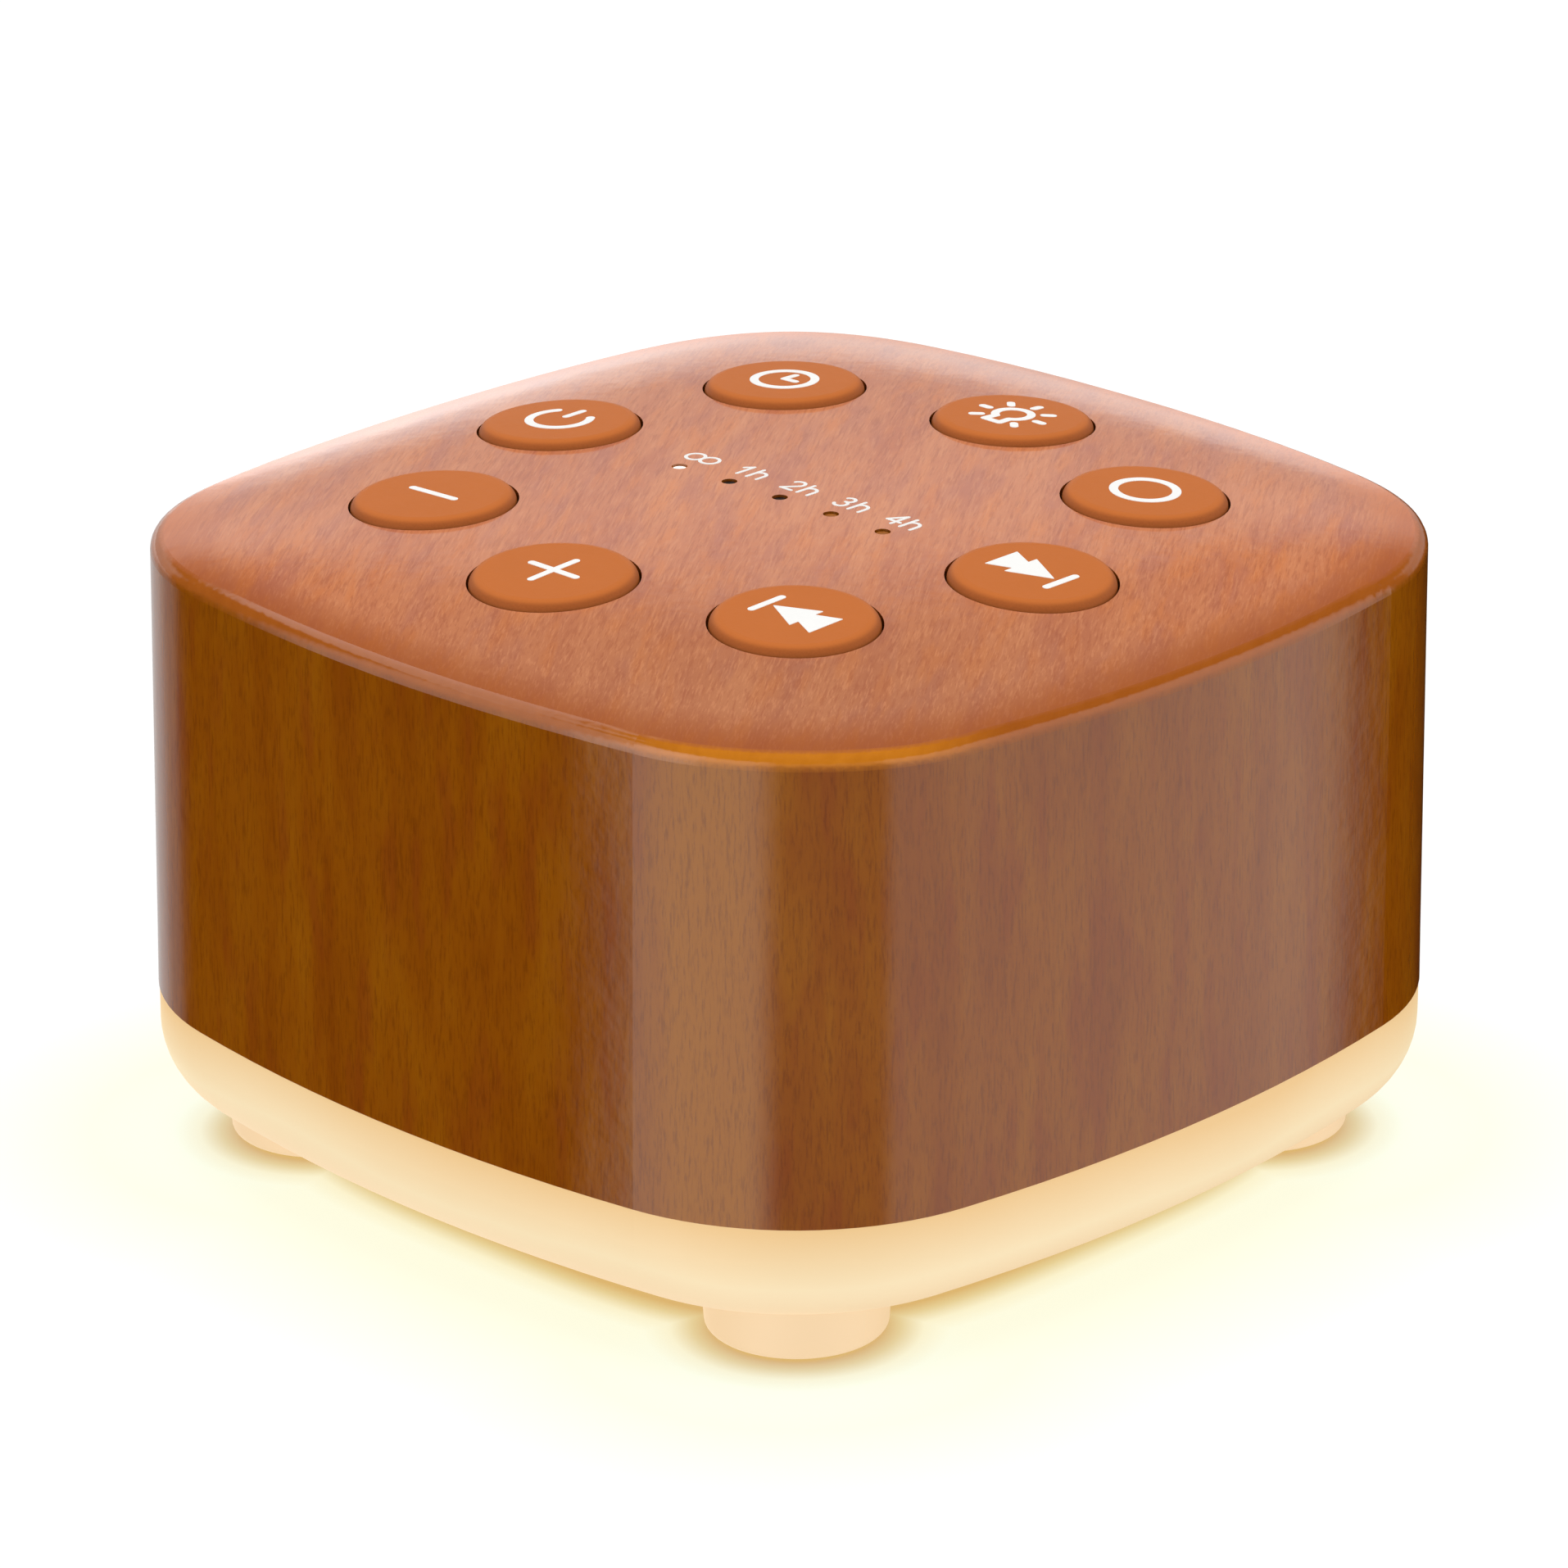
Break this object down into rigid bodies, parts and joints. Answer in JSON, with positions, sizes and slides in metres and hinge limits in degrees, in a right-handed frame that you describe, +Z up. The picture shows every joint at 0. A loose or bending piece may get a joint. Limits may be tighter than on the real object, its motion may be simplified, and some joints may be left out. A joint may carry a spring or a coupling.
{
  "type": "white noise sound machine",
  "caption": "Rounded-square table-top sound machine with a crowned wood-grain housing, a ring of push buttons, timer lights and a glowing frosted base on round feet.",
  "frame": {"origin": "on the table, under the middle of the body", "axes": "+Z up; +X along the row of timer lights in reading direction; the user sits at -Y and the power inlet faces +Y"},
  "size_m": [0.1042, 0.1042, 0.0649],
  "materials": {
    "wood_finish": "wood-grain print, satin",
    "frosted_plastic": "frosted, translucent, lit from inside",
    "pad_rubber": "matt",
    "plated_steel": "zinc plated",
    "button_plastic": "satin, printed white symbol",
    "black_plastic": "matt",
    "circuit_board": "solder mask",
    "led_lens": "clear with phosphor",
    "clear_plastic": "clear, polished",
    "can_aluminium": "bare can with sleeve",
    "white_plastic": "white",
    "foam_rubber": "closed-cell foam",
    "black_painted_steel": "black paint",
    "magnet_iron": "ferrite and plated plates",
    "paper": "pressed paper cone",
    "copper_wire": "enamelled winding and tinned tags",
    "wire_cover": "wire insulation"
  },
  "bodies": {
    "machine": {"housing_shell": "wood_finish", "light_base": "frosted_plastic", "foot_pad_rear_right": "pad_rubber", "foot_pad_rear_left": "pad_rubber", "foot_pad_front_left": "pad_rubber", "foot_pad_front_right": "pad_rubber", "case_screws": "plated_steel", "switch_next": "black_plastic", "switch_loop": "black_plastic", "switch_light": "black_plastic", "switch_timer": "black_plastic", "switch_power": "black_plastic", "switch_volume_down": "black_plastic", "switch_volume_up": "black_plastic", "switch_previous": "black_plastic", "main_board": "circuit_board", "board_screws": "plated_steel", "timer_leds": "led_lens", "light_guide": "clear_plastic", "sound_processor": "black_plastic", "memory_chip": "black_plastic", "amplifier_chip": "black_plastic", "board_capacitors": "can_aluminium", "speaker_socket": "white_plastic", "light_socket": "white_plastic", "power_socket": "white_plastic", "light_board": "circuit_board", "light_board_leds": "led_lens", "reflector_plate": "white_plastic", "speaker_gasket": "foam_rubber", "speaker_frame": "black_painted_steel", "speaker_magnet": "magnet_iron", "speaker_cone": "paper", "speaker_coil": "copper_wire", "speaker_surround": "foam_rubber", "speaker_dust_cap": "paper", "speaker_terminal": "copper_wire", "speaker_screws": "plated_steel", "power_board": "circuit_board", "power_board_screws": "plated_steel", "power_inlet": "plated_steel", "speaker_lead": "wire_cover", "light_lead": "wire_cover", "power_lead": "wire_cover"},
    "next_key": {"button_next": "button_plastic", "plunger_next": "black_plastic"},
    "loop_key": {"button_loop": "button_plastic", "plunger_loop": "black_plastic"},
    "light_key": {"button_light": "button_plastic", "plunger_light": "black_plastic"},
    "timer_key": {"button_timer": "button_plastic", "plunger_timer": "black_plastic"},
    "power_key": {"button_power": "button_plastic", "plunger_power": "black_plastic"},
    "volume_down_key": {"button_volume_down": "button_plastic", "plunger_volume_down": "black_plastic"},
    "volume_up_key": {"button_volume_up": "button_plastic", "plunger_volume_up": "black_plastic"},
    "previous_key": {"button_previous": "button_plastic", "plunger_previous": "black_plastic"}
  },
  "joints": [
    {"name": "press_next", "type": "slide", "parent": "machine", "child": "next_key", "axis": [0, 0, -1], "range_m": [0, 0.0005], "stiffness_N_per_m": 2000, "springref_m": -0.0003},
    {"name": "press_loop", "type": "slide", "parent": "machine", "child": "loop_key", "axis": [0, 0, -1], "range_m": [0, 0.0005], "stiffness_N_per_m": 2000, "springref_m": -0.0003},
    {"name": "press_light", "type": "slide", "parent": "machine", "child": "light_key", "axis": [0, 0, -1], "range_m": [0, 0.0005], "stiffness_N_per_m": 2000, "springref_m": -0.0003},
    {"name": "press_timer", "type": "slide", "parent": "machine", "child": "timer_key", "axis": [0, 0, -1], "range_m": [0, 0.0005], "stiffness_N_per_m": 2000, "springref_m": -0.0003},
    {"name": "press_power", "type": "slide", "parent": "machine", "child": "power_key", "axis": [0, 0, -1], "range_m": [0, 0.0005], "stiffness_N_per_m": 2000, "springref_m": -0.0003},
    {"name": "press_volume_down", "type": "slide", "parent": "machine", "child": "volume_down_key", "axis": [0, 0, -1], "range_m": [0, 0.0005], "stiffness_N_per_m": 2000, "springref_m": -0.0003},
    {"name": "press_volume_up", "type": "slide", "parent": "machine", "child": "volume_up_key", "axis": [0, 0, -1], "range_m": [0, 0.0005], "stiffness_N_per_m": 2000, "springref_m": -0.0003},
    {"name": "press_previous", "type": "slide", "parent": "machine", "child": "previous_key", "axis": [0, 0, -1], "range_m": [0, 0.0005], "stiffness_N_per_m": 2000, "springref_m": -0.0003}
  ]
}
